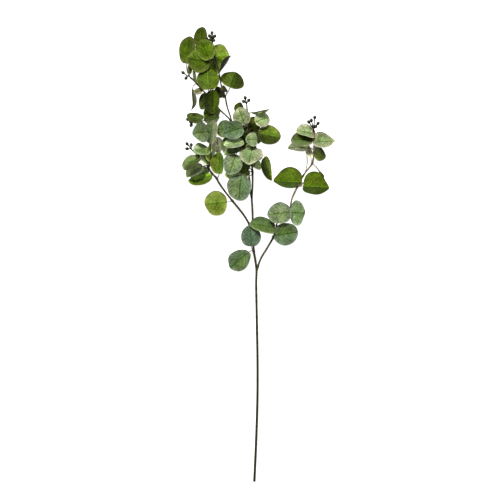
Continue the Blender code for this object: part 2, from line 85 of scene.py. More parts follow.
TWIGS = [
    Twig(
        "stalk", None, 0, (STALK_RADIUS, 2.3),
        [
            (-1.4, 4.6, STALK_END), (-0.8, 17, STALK_END), (-0.2, 30, STALK_END), (2.4, 90, 4.5),
            (4.8, 170, 9), (5, 250, 14), (3.6, 330, 19), (2.4, 400, 23.5), (3, 428, 25), (1.4, 444, 26),
            (-0.4, 456, 27), (-2.6, 468, 28), (-4, 490, 29.5), (-6, 512, 31), (-5.6, 519, 31.2),
            (-5.2, 526, 31.4),
        ],
        [
            Leaf("stalk_low", 11, (-12, 466, 27), (-50.4, 434, 29), 41, (-0.1, -0.1), UPPER, None, -0.25),
            Leaf("stalk_front", 11, (-7, 477, 35), (-9.8, 521, 40), 41, (0, 0.1), UPPER),
        ],
        [],
    ),
    Twig(
        "right_twig", "stalk", 8, (2.1, 1.8),
        [
            (3, 428, 25), (11.4, 452, 26), (23.6, 472.6, 28), (36, 494, 30), (42, 508, 31),
            (43.6, 522, 31.5), (53, 536, 32), (69, 551, 34), (73.8, 572, 34), (85, 597, 34), (96, 618, 34),
            (106, 632, 34), (114.6, 644, 34), (118, 666, 35), (118.6, 688, 36), (117, 704, 38),
        ],
        [
            Leaf("right_1_left", 3, (40, 514, 31), (-10, 523, 47), 46, (0, 0.9), UPPER),
            Leaf("right_1_right", 3, (37, 499, 36), (86, 506, 33), 46, (0, -0.1), UPPER),
            Leaf("right_2_left", 7, (73, 546, 39), (24, 540, 43), 44, (0, 0.05), UPPER),
            Leaf("right_2_right", 7, (70, 545.2, 34), (102, 543.4, 4), 50, (0.9, 0), UPPER, None, 0.35),
            Leaf("right_3_left", 9, (94, 605, 39), (36.4, 608, 36), 50, (0, -0.65), UNDER, 0.65, 0.1),
            Leaf("right_3_right", 9, (96, 597.4, 37), (148.4, 595.4, 36), 54, (0, -0.6), UNDER, 0.6, 0.1),
            Leaf("right_4_edge", 12, (127, 630, 31), (138, 620, -4), 36, (3.2, 1.5), UNDER),
            Leaf("right_4_back", 13, (119, 677, 29), (142, 658, 0), 40, (0.9, 0.6), UNDER),
            Leaf("right_4_left", 12, (111.5, 655, 29), (106.5, 680, 22), 16, (0.4, 0.3), UNDER),
            Leaf("right_5_top", 14, (120, 700, 31), (82, 708, 36), 43, (0, 1.2), UPPER),
            Leaf("right_5_left", 14, (115, 688, 37), (71, 691, 34), 42, (0, 0.9), UPPER),
            Leaf("right_5_low", 13, (106, 675, 24), (66, 675, 17), 34, (0, -1.4), UNDER),
            Leaf("right_5_back", 10, (100, 674, 22), (93, 694, 16), 24, (0, 0.3), UNDER),
            Leaf("right_5_right", 14, (115, 685, 41), (160.6, 687, 38), 43, (0, 0.9), UPPER, None, 0.3),
        ],
        [(107.4, 726, 40), (119.4, 735, 42), (126, 723, 43), (112.6, 729.4, 38), (121.4, 717, 41)],
    ),
    Twig(
        "left_twig", "stalk", 13, (2.4, 1.7),
        [
            (-6, 512, 31), (-19, 534.6, 30.5), (-31, 551, 30), (-45.4, 568.4, 31), (-60, 587, 32),
            (-72.6, 605, 32), (-76.8, 613.4, 32), (-86.6, 624, 32), (-93, 634, 31), (-101, 648, 31),
            (-111, 658, 30), (-119, 664, 29.5), (-124.4, 668.8, 29),
        ],
        [
            Leaf("left_1", 3, (-55.8, 566, 34), (-101, 561, 34), 51, (0, 0), UNDER),
            Leaf("left_2_up", 6, (-72, 622, 34), (-71, 666, 34), 43, (1.2, 0), UNDER),
            Leaf("left_2_low", 6, (-86, 619, 36), (-133.4, 606, 38), 30, (0.3, 1.1), UNDER),
            Leaf("left_2_back", 7, (-92, 627, 26), (-130, 613, -3), 34, (-0.2, 0.3), UPPER),
            Leaf("left_3", 8, (-104, 637, 37), (-138.4, 615, 39), 40, (-0.56, 0.95), UPPER),
            Leaf("left_4", 10, (-110.4, 656, 46), (-143, 631, 53), 40, (-0.75, 0.95), UPPER),
            Leaf("left_5", 10, (-92, 672.6, 42), (-121.4, 667.6, 56), 41, (0, 1.1), UPPER),
            Leaf("left_6", 8, (-95, 640, 41), (-104, 671, 40), 33, (1.1, -0.2), UPPER),
            Leaf("left_7", 8, (-89, 648, 42), (-90, 682, 54), 32, (3.5, 0), UNDER),
            Leaf("left_8", 8, (-87, 656, 36), (-82, 682, 40), 26, (-3.5, 0.3), UNDER),
        ],
        [(-136, 682.4, 32), (-127.6, 680.4, 33), (-136, 672.6, 31)],
    ),
    Twig(
        "middle_left_twig", "left_twig", 8, (1.6, 1.2),
        [
            (-93, 634, 31), (-91.6, 644, 25), (-89, 660, 19), (-90, 680, 17), (-95, 698, 18),
            (-104, 714, 20), (-114, 724.4, 22), (-121, 727, 22.5),
        ],
        [
            Leaf("middle_left_pale", 2, (-73, 665, 10), (-75, 697, 9), 36, (1.0, 0), UNDER),
            Leaf("middle_left_front", 5, (-94.6, 706.6, 40), (-124.8, 701.6, 64), 43, (0.8, 0.15), UPPER),
            Leaf("middle_left_side", 3, (-88, 682, 36), (-82, 730, 40), 44, (-1.2, 0.1), UPPER),
            Leaf("middle_left_top", 6, (-104, 732.6, 30), (-136.4, 741, 24), 34, (0.1, 1.1), UNDER),
            Leaf("middle_left_back", 5, (-102, 736, 10), (-72, 744, 8), 38, (0, -0.5), UNDER),
            Leaf("middle_left_small", 5, (-102, 730, 20), (-71, 736, 20), 27, (0, -1.4), UPPER),
        ],
        [(-134.8, 731.4, 26), (-129, 726.6, 28), (-128, 720, 26)],
    ),
    Twig(
        "centre_twig", "stalk", None, (2.3, 1.6),
        [
            (-5.2, 526, 31.4), (-4.8, 533, 31.6), (-4.8, 542, 31.6), (-5.6, 558, 31.5), (-6.4, 574, 31.5),
            (-5, 596, 31.5), (-5, 626, 31.5), (-8, 650, 31), (-11.4, 676, 30.5), (-14, 702, 31),
            (-15.4, 722, 32.5), (-15.4, 744, 34), (-16.4, 759, 34.5),
        ],
        [
            Leaf("centre_low_left", 6, (-27, 620, 40), (-32, 568.6, 35), 53, (-0.35, 0), UPPER),
            Leaf("centre_low_behind", 6, (-18, 634, 28), (-62, 618, 30), 26, (0, 0.4), UNDER),
            Leaf("centre_low_right", 7, (19, 655.6, 24), (33, 609.4, -3), 27, (0.8, 0), UNDER, None, 0.2),
            Leaf("centre_dark", 6, (-4, 636, 27), (6, 652, 10), 32, (0.5, 0.6), UNDER),
            Leaf("centre_left_disc", 7, (-38, 661, 44), (-52, 620, 48), 40, (0, 0), UPPER),
            Leaf("centre_left_behind", 7, (-36, 638, 35), (-9, 637, 37), 30, (0, 0.2), UNDER),
            Leaf("centre_low_pale", 6, (-11, 620, 26), (-28, 628, 24), 18, (0, 0.3), UPPER),
            Leaf("centre_low_front", 8, (-5, 674, 42), (-13, 641, 70), 46, (0, 0.88), UPPER),
            Leaf("centre_green", 8, (-10, 662, 38), (-5, 688, 38), 22, (0, 0), UPPER),
            Leaf("centre_pink", 8, (-2, 664, 33), (17, 658, 29), 26, (0.2, 0.3), UNDER),
            Leaf("centre_shadow", 8, (-28, 674, 36), (-62, 661, 37), 34, (0, 1.6), UPPER),
            Leaf("centre_left_low", 8, (-38, 679, 26), (-67.6, 677, 26), 42, (0, 0), UNDER),
            Leaf("centre_left_front", 8, (-22, 684, 50), (-62, 678.4, 54), 40, (0, 1.5), UPPER),
            Leaf("centre_small", 9, (4, 690, 44), (-19, 690, 64), 29, (0.87, 0.1), UPPER),
            Leaf("centre_left_high", 10, (-24, 714, 51), (-65, 702, 53), 38, (0.2, 0.15), UPPER),
            Leaf("centre_left_back", 9, (-46, 713, 30), (-78, 711, 23), 40, (0, 0.5), UPPER),
            Leaf("centre_hidden", 9, (-4, 712, 27), (8, 684, 14), 33, (-1, 0), UNDER),
            Leaf("centre_right", 9, (7, 705, 33), (52, 696, 27), 40, (0, 0.1), UNDER),
            Leaf("centre_right_high", 10, (0, 726, 40), (29, 736, 24), 32, (0.6, 0.2), UPPER),
            Leaf("centre_middle", 10, (-13, 704, 26), (8, 736, 22), 33, (0.4, 0), UNDER),
            Leaf("centre_deep", 8, (-20, 668, 27), (-27, 724, 26), 26, (-0.2, 0), UNDER),
            Leaf("centre_right_edge", 11, (-7, 744.6, 36), (29, 752, 30), 24, (0.8, 3.4), UNDER),
            Leaf("centre_top", 10, (-20.4, 720, 42), (-33, 754.6, 48), 37, (-0.2, 0.1), UPPER),
            Leaf("centre_top_back", 11, (-28, 737, 30), (-29, 766, 24), 31, (1, 0), UNDER),
        ],
        [(-19.6, 774.4, 37), (-23, 767, 38), (-12.4, 769.4, 36)],
    ),
    Twig(
        "top_twig", "centre_twig", 4, (1.9, 1.3),
        [
            (-6.4, 574, 31.5), (-8.8, 588, 26.5), (-10.8, 610, 21), (-17, 638, 17), (-27, 668, 15),
            (-37, 696, 15), (-44, 719, 17), (-49.6, 738, 20), (-56, 758, 22), (-59.8, 778, 25),
            (-66, 793, 28), (-70.6, 816, 30.4), (-74.4, 836, 33), (-80.4, 856, 34), (-83, 873, 35),
            (-84.6, 883, 36),
        ],
        [
            Leaf("top_right_low", 9, (-50, 795.4, 28), (-39, 826, 20), 50, (0.1, 0.2), UNDER, 0.4),
            Leaf("top_dark", 9, (-64, 776, 21), (-76, 798, 12), 28, (0.8, 0.2), UNDER),
            Leaf("top_curled", 9, (-58, 786, 34), (-64, 799, 40), 20, (-1.2, -0.8), UPPER),
            Leaf("top_right", 12, (-84, 856, 31), (-51.4, 862, 16), 50, (0.5, -0.1), UNDER),
            Leaf("top_middle", 11, (-76, 822, 22), (-88, 856, 24), 28, (-0.3, 0), UNDER),
            Leaf("top_right_edge", 11, (-69.5, 827, 38), (-46.4, 859.4, 41), 34, (3.9, -3.4), UNDER),
            Leaf("top_front", 13, (-91, 850, 52), (-108.6, 890, 57), 40, (-0.3, 0), UNDER),
            Leaf("top_left_wide", 13, (-89, 846, 41), (-137, 853, 46), 50, (0, 0.1), UNDER),
            Leaf("top_last", 14, (-108, 872, 34), (-106, 916.4, 34), 31, (0.5, 0), UNDER),
        ],
        [(-86, 904, 37), (-80.6, 897.4, 40), (-91, 898, 37), (-97, 893, 36), (-82, 889, 42),
         (-88.4, 891, 42), (-85.4, 896.4, 43)],
    ),
    Twig(
        "top_left_twig", "top_twig", 6, (1.7, 1.3),
        [
            (-44, 719, 17), (-52, 733, 23), (-62.6, 743.4, 29), (-73, 753, 33), (-84, 767, 37),
            (-96, 780.4, 40), (-108, 792.6, 42), (-116.4, 802, 42), (-125, 811.4, 41), (-131.6, 816.8, 40),
        ],
        [
            Leaf("top_left_veined", 5, (-93, 790.4, 43), (-95.6, 837, 35), 46, (0, 0), UNDER),
            Leaf("top_left_low", 5, (-97, 782, 32), (-108, 752, 22), 31, (-0.3, 0.6), UNDER),
            Leaf("top_left_inner", 4, (-77, 758, 38), (-86, 736, 38), 24, (-0.4, 0.2), UNDER),
            Leaf("top_left_hanging", 5, (-84, 790, 45), (-86, 742, 42), 33, (0.3, 0.2), UNDER),
            Leaf("top_left_pale", 6, (-105, 789, 37), (-123, 786, 34), 15, (0, 0.3), UNDER),
            Leaf("top_left_edge", 7, (-125, 792, 38), (-127, 748, 34), 34, (4, 0), UPPER),
            Leaf("top_left_slim", 7, (-117, 806, 36), (-122, 832, 33), 18, (2.4, 0), UNDER),
            Leaf("top_left_outer", 8, (-136.6, 843, 30), (-131, 898, 30), 45, (0.9, 0), UNDER),
            Leaf("top_left_back", 8, (-131, 822, 29), (-130, 844, 27), 11, (0, 0), UNDER),
        ],
        [(-144, 824.4, 42), (-138, 813.4, 40)],
    ),
]

# Colours of leaves and stems, in linear light. Besides the leaves' own colours they hold painted light and
# shade:
# the palest light up halves that lie in shade, and the darkest stand for shade on leaves deep among others.
TONES = {
    "blush": (0.780, 0.660, 0.560),
    "petal": (0.480, 0.430, 0.330),
    "frost": (0.600, 0.720, 0.400),
    "mist": (0.430, 0.500, 0.260),
    "light": (0.300, 0.355, 0.190),
    "pale": (0.225, 0.262, 0.138),
    "silver": (0.165, 0.195, 0.105),
    "fresh": (0.190, 0.270, 0.112),
    "sage": (0.140, 0.185, 0.080),
    "dull": (0.110, 0.140, 0.060),
    "blue": (0.080, 0.120, 0.058),
    "slate": (0.078, 0.114, 0.078),
    "mid": (0.085, 0.125, 0.034),
    "shade": (0.056, 0.086, 0.032),
    "green": (0.082, 0.118, 0.007),
    "moss": (0.060, 0.100, 0.002),
    "leaf": (0.054, 0.080, 0.002),
    "bright": (0.165, 0.285, 0.016),
    "turf": (0.108, 0.145, 0.018),
    "lime": (0.138, 0.180, 0.021),
    "yellow": (0.250, 0.320, 0.040),
    "grass": (0.074, 0.128, 0.003),
    "fern": (0.046, 0.070, 0.002),
    "olive": (0.040, 0.055, 0.003),
    "dusky": (0.032, 0.044, 0.002),
    "dark": (0.025, 0.034, 0.003),
    "black": (0.009, 0.012, 0.001),
    "pink": (0.260, 0.235, 0.165),
    "brown": (0.120, 0.100, 0.042),
}
HIDDEN_TONES = {UPPER: "green", UNDER: "sage"}  # of the face that isn't seen from above
# The tones of a leaf's left and right half, as seen from above with its tip away. Besides the leaf's own
# colour
# they hold painted light and shade: one half is often painted lighter and the other darker, as light falls on
# its fold.
LEAF_TONES = {
    "stalk_low": ("mid", "blue"), "stalk_front": ("slate", "slate"),
    "right_1_left": ("mid", "shade"), "right_1_right": ("mid", "blue"),
    "right_2_left": ("dull", "silver"), "right_2_right": ("fresh", "fresh"),
    "right_3_left": ("grass", "fern"), "right_3_right": ("leaf", "moss"),
    "right_4_edge": ("dark", "dark"), "right_4_back": ("dark", "lime"),
    "right_4_left": ("blush", "blush"), "right_5_top": ("sage", "pale"),
    "right_5_left": ("mid", "olive"), "right_5_low": ("petal", "mist"),
    "right_5_back": ("pink", "dull"), "right_5_right": ("dull", "silver"),
    "left_1": ("lime", "turf"), "left_2_up": ("lime", "bright"), "left_2_low": ("fern", "bright"),
    "left_2_back": ("sage", "pale"), "left_3": ("shade", "mist"), "left_4": ("dark", "mid"),
    "left_5": ("mid", "pale"), "left_6": ("frost", "pale"), "left_7": ("yellow", "yellow"),
    "left_8": ("dull", "dull"),
    "middle_left_pale": ("blush", "blush"), "middle_left_front": ("dull", "dull"),
    "middle_left_side": ("shade", "silver"), "middle_left_top": ("dark", "olive"),
    "middle_left_back": ("turf", "dark"), "middle_left_small": ("green", "mist"),
    "centre_low_left": ("blue", "dull"), "centre_low_behind": ("frost", "sage"),
    "centre_low_pale": ("mist", "pale"), "centre_low_right": ("lime", "dark"),
    "centre_low_front": ("silver", "sage"), "centre_dark": ("leaf", "mist"),
    "centre_left_behind": ("sage", "olive"), "centre_left_low": ("silver", "mid"),
    "centre_left_front": ("silver", "light"), "centre_left_high": ("blue", "shade"),
    "centre_left_back": ("mid", "shade"), "centre_left_disc": ("sage", "silver"),
    "centre_green": ("mid", "mid"), "centre_pink": ("petal", "petal"),
    "centre_shadow": ("mid", "pale"), "centre_small": ("silver", "light"),
    "centre_hidden": ("dark", "olive"), "centre_deep": ("olive", "olive"),
    "centre_middle": ("leaf", "dark"), "centre_right": ("green", "dark"),
    "centre_right_high": ("light", "pale"), "centre_right_edge": ("dark", "dark"),
    "centre_top": ("pale", "silver"), "centre_top_back": ("dusky", "black"),
    "top_right_low": ("leaf", "dark"), "top_dark": ("black", "black"),
    "top_curled": ("brown", "dark"), "top_right": ("lime", "green"),
    "top_right_edge": ("black", "black"), "top_middle": ("lime", "lime"),
    "top_front": ("moss", "moss"), "top_left_wide": ("fern", "moss"),
    "top_last": ("dusky", "fern"), "top_left_veined": ("fern", "leaf"),
    "top_left_low": ("dark", "olive"), "top_left_inner": ("dark", "dark"),
    "top_left_hanging": ("fern", "black"), "top_left_pale": ("pink", "brown"),
    "top_left_edge": ("pink", "dull"), "top_left_slim": ("dull", "dull"),
    "top_left_outer": ("moss", "green"), "top_left_back": ("brown", "dark"),
}
HALF_BLEND = 5.0  # about how far from the midrib a half's own tone takes over
# Broad margins: their colours, as multiples of the leaf's strongest channel, and the leaves that have them.
BEIGE, FROST, LIME = (1.25, 1.05, 0.78), (0.88, 1.12, 0.84), (1.14, 1.30, 0.30)
MARGINS = {
    BEIGE: {
        "right_5_left", "right_5_right", "right_5_top", "centre_low_front", "centre_top",
        "centre_right_high", "middle_left_side", "left_3", "left_4", "left_6",
    },
    FROST: {
        "stalk_low", "stalk_front", "right_1_right", "right_2_left", "right_2_right", "centre_low_left",
        "centre_left_high", "centre_left_disc", "middle_left_front", "left_5",
    },
    LIME: {
        "top_front", "top_left_wide", "top_right", "top_left_outer", "top_last", "left_1", "centre_right",
        "top_left_low", "right_4_edge", "middle_left_top", "right_4_back",
    },
}
MARGIN_START, MARGIN_RUN = 0.55, 0.4  # as shares of the way out to the rim
MARGIN_STRENGTH = 0.65
# The thin rim has a painted highlight, tinged pink, where it faces down the branch, and painted shade where
# it faces up it.
RIM_START, RIM_RUN = 0.9, 0.08
RIM_TURN = 0.2
RIM_STRENGTH = 0.9
RIM_HIGHLIGHT, RIM_BLUSH = 1.4, np.array([0.34, 0.22, 0.26])
RIM_SHADE = 0.5
PALE_VEINED = {
    "top_left_veined", "top_right", "centre_right", "right_3_left", "right_3_right", "middle_left_top",
}
# Each twig's colour at its foot and at its end.
STEM_TONES = {
    "stalk": ((0.014, 0.015, 0.003), (0.034, 0.031, 0.007)),
    "right_twig": ((0.036, 0.030, 0.010), (0.170, 0.130, 0.075)),
    "left_twig": ((0.024, 0.019, 0.005), (0.036, 0.026, 0.009)),
    "middle_left_twig": ((0.036, 0.030, 0.012), (0.036, 0.030, 0.012)),
    "centre_twig": ((0.026, 0.025, 0.006), (0.046, 0.038, 0.013)),
    "top_twig": ((0.046, 0.038, 0.016), (0.022, 0.021, 0.006)),
    "top_left_twig": ((0.034, 0.028, 0.011), (0.022, 0.020, 0.007)),
}
NODE_TONE = np.array([0.016, 0.013, 0.004])
BUD_TONE = np.array([0.007, 0.008, 0.003])
# The cap's colour towards its tip: partly its own lighter tone and partly a painted highlight.
BUD_TIP_TONE_AND_HIGHLIGHT = np.array([0.060, 0.060, 0.026])
LEAF_STALK_LIGHT = 1.3  # a leaf's stalk against the twig that it grows from

STEPS_PER_SPAN = 24
TUBE_SIDES = 12
STALK_TUBE_SIDES = 16
END_TRIM = 0.03  # the cut end's rounder ring, set back to keep within the solid's length
NODE_SWELLING = 0.32
NODE_SPREAD = 3.0
NODE_SHADOW, NODE_DARKNESS = 6.0, 0.85
# Old leaf scars down the stalk, by their y in the drawing frame.
STALK_SCARS = (303, 316, 336, 368, 379, 394)
SCAR_HEIGHT = 0.22
SCAR_SPREAD, SCAR_DARKNESS = 2.2, 0.6
SOCKET_LENGTH = 14.5
SOCKET_WALL = 0.5
SOCKET_FADE = 4  # the power by which the wall thins along the socket
PETIOLE_RADIUS = 0.85
PETIOLE_TAPER = (1.15, 0.85)
PETIOLE_END = 0.35  # its last ring, inside the blade
PETIOLE_STEPS = 12
PETIOLE_SIDES = 8
PETIOLE_ROOT = 5.0  # how far it runs on into the blade
PETIOLE_PULL = 0.6  # how far it bends towards the blade's own line, as a share of its length
PETIOLE_FADE = (0.3, 0.2)  # the share of its own tone in its first ring, and what each ring adds

BLADE_HALF = 0.34  # of its thickness
EDGE_FADE = 14  # the power by which it thins towards its rim
EDGE_LEAST = 0.02  # the square of the least share of it that is left there
BLADE_SECTORS = 72
BLADE_INSET = 0.8  # off a blade's width, as the solid's few-sided outline lies inside its own curve
BLADE_SHARES = [0.0, 0.08, 0.16, 0.24, 0.32, 0.4, 0.48, 0.56, 0.64, 0.72, 0.8, 0.87, 0.92, 0.96, 0.985, 1.0]
# What each leaf's own form and shade are drawn from. Heights and bulges are shares of the leaf's size.
POINT_RANGE = (0.03, 0.12)
NOTCH_RANGE = (0.02, 0.1)
FOLD_RANGE = (0.12, 0.3)
ARCH_RANGE = (0.02, 0.07)
CURL_RANGE = (-0.02, 0.06)
WAVE_RANGE = (0.01, 0.03)
RIM_WAVE_RANGE = (0.008, 0.02)
SHADE_RANGE = (0.9, 1.1)
POINT_SPREAD, NOTCH_SPREAD = 0.35, 0.3  # in radians round the blade
CREASE = 3.0
MIDRIB_DEPTH, MIDRIB_SPREAD = 0.35, 1.2
VEIN_SPACING = 8.5
VEIN_LEAN = 1.0
VEIN_HEIGHT = 0.16
VEIN_FADE = 4.0  # side veins are at full height from this far out

BUD_LENGTH = 9.0
BUD_RADIUS = 3.4
BUD_SIDES = 16
BUD_RIBS, RIB_HEIGHT = 4, 0.06
RIBBED = (0.1, 0.6)  # the part of a bud's length that has ribs
# Shares of a bud's length and radius: a cup that widens from its stalk, a seam, and a blunt cap.
BUD_PROFILE = [
    (0.0, 0.28), (0.1, 0.5), (0.22, 0.74), (0.35, 0.9), (0.48, 0.99), (0.58, 1.0), (0.6, 0.9),
    (0.64, 0.93), (0.72, 0.84), (0.82, 0.62), (0.9, 0.4), (0.96, 0.22), (1.0, 0.08),
]
BUD_HEAD = 0.35  # where a spray's stem divides, as a share of the way to its buds
BUD_STEM_SIDES, BUD_STEM_END = 10, 1.1
BUD_STALK_RADIUS = 1.25
BUD_STEM_LEAD = 2.0  # how far a spray's stem runs on in the twig's line
BUD_LEAD = 2.5  # how far along the twig's line a bud's stalk starts
BUD_ROOT = 2.0  # how far the stalk runs on into its bud
CLOSE_BUD = 2.5  # a bud whose base is nearer the division than this has a straighter stalk
CLOSE_BUD_ROOT = 2.5
BUD_STEPS = 4

STEM_SLOT, LEAF_SLOT = 0, 1

SKY_STRENGTH = 0.42
FLOOR_GLOW = 0.95
FLOOR_GREY = (0.42, 0.46)
# The floor and the view, in metres: VIEW_WIDTH is what the picture spans at VIEW_HEIGHT, that of the leaves.
FLOOR_HALF = 6.0
FLOOR_DEPTH = 0.0005
VIEW_WIDTH = 1.0
VIEW_HEIGHT = 0.035
VIEW_MIDDLE = (-10, 470)  # the point of the drawing frame in the picture's middle


def unit(vector):
    return np.asarray(vector, float) / np.linalg.norm(vector)


def bell(distance, spread):
    """1 where the distance is none, falling smoothly to nearly 0 at twice the spread."""
    return np.exp(-((distance / spread) ** 2))


def smooth(points, steps):
    """A Catmull-Rom curve through the points, with that many steps in each span."""
    points = np.asarray(points, float)
    ends = np.vstack([2 * points[0] - points[1], points, 2 * points[-1] - points[-2]])
    curve = []
    for before, start, end, after in zip(ends, ends[1:], ends[2:], ends[3:]):
        for step in range(steps):
            t = step / steps
            curve.append(
                start
                + 0.5 * t * (end - before)
                + 0.5 * t**2 * (2 * before - 5 * start + 4 * end - after)
                + 0.5 * t**3 * (3 * start - before - 3 * end + after)
            )
    return np.array(curve + [points[-1]])


class Body:
    """One mesh in the making. Each point has a colour and a place on its leaf: out, along and share."""

    def __init__(self):
        self.vertices, self.faces, self.slots, self.tints, self.places = [], [], [], [], []

    def add(self, vertices, faces, tints, slot, places=None, veined=0.0):
        first = len(self.vertices)
        if places is None:
            places = [(0, 0, 0)] * len(vertices)
        self.vertices += [tuple(vertex) for vertex in vertices]
        self.faces += [tuple(first + corner for corner in face) for face in faces]
        self.slots += [slot] * len(faces)
        self.tints += [(*tint, veined) for tint in tints]
        self.places += [tuple(place) for place in places]

    def make(self, name, materials):
        points = (np.array(self.vertices) - np.array([*MIDDLE, 0.0])) * MM
        # What would pass below the floor lies flat on it.
        points[:, 2] = np.maximum(points[:, 2], 0.0)
        mesh = bpy.data.meshes.new(name)
        mesh.from_pydata(points.tolist(), [], self.faces)
        for material in materials:
            mesh.materials.append(material)
        mesh.polygons.foreach_set("material_index", self.slots)
        mesh.polygons.foreach_set("use_smooth", [True] * len(self.faces))
        tint = mesh.attributes.new("tint", "FLOAT_COLOR", "POINT")
        tint.data.foreach_set("color", np.array(self.tints, float).ravel())
        place = mesh.attributes.new("place", "FLOAT_VECTOR", "POINT")
        place.data.foreach_set("vector", np.array(self.places, float).ravel())
        mesh.update()
        made = bpy.data.objects.new(name, mesh)
        bpy.context.scene.collection.objects.link(made)
        return made


def tube_faces(rings, sides):
    """The faces of a closed tube: quads from ring to ring, and one flat face at each end."""
    faces = []
    for ring in range(rings - 1):
        for side in range(sides):
            a, b = ring * sides + side, ring * sides + (side + 1) % sides
            faces.append((a, a + sides, b + sides, b))
    last = (rings - 1) * sides
    faces.append(tuple(range(sides)))
    faces.append(tuple(last + side for side in reversed(range(sides))))
    return faces


def tube(body, points, radii, tints, sides=TUBE_SIDES):
    """A closed round tube along the points."""
    spans = [unit(after - before) for before, after in zip(points, points[1:])]
    directions = [spans[0]] + [unit(a + b) for a, b in zip(spans, spans[1:])] + [spans[-1]]
    up = np.array([0.0, 0.0, 1.0])
    vertices, colours = [], []
    for point, radius, direction, tint in zip(points, radii, directions, tints):
        up = unit(up - up.dot(direction) * direction)
        across = np.cross(direction, up)
        for side in range(sides):
            angle = 2 * math.pi * (side + 0.5) / sides
            vertices.append(point + radius * (math.sin(angle) * across - math.cos(angle) * up))
            colours.append(tint)
    body.add(vertices, tube_faces(len(points), sides), colours, STEM_SLOT)


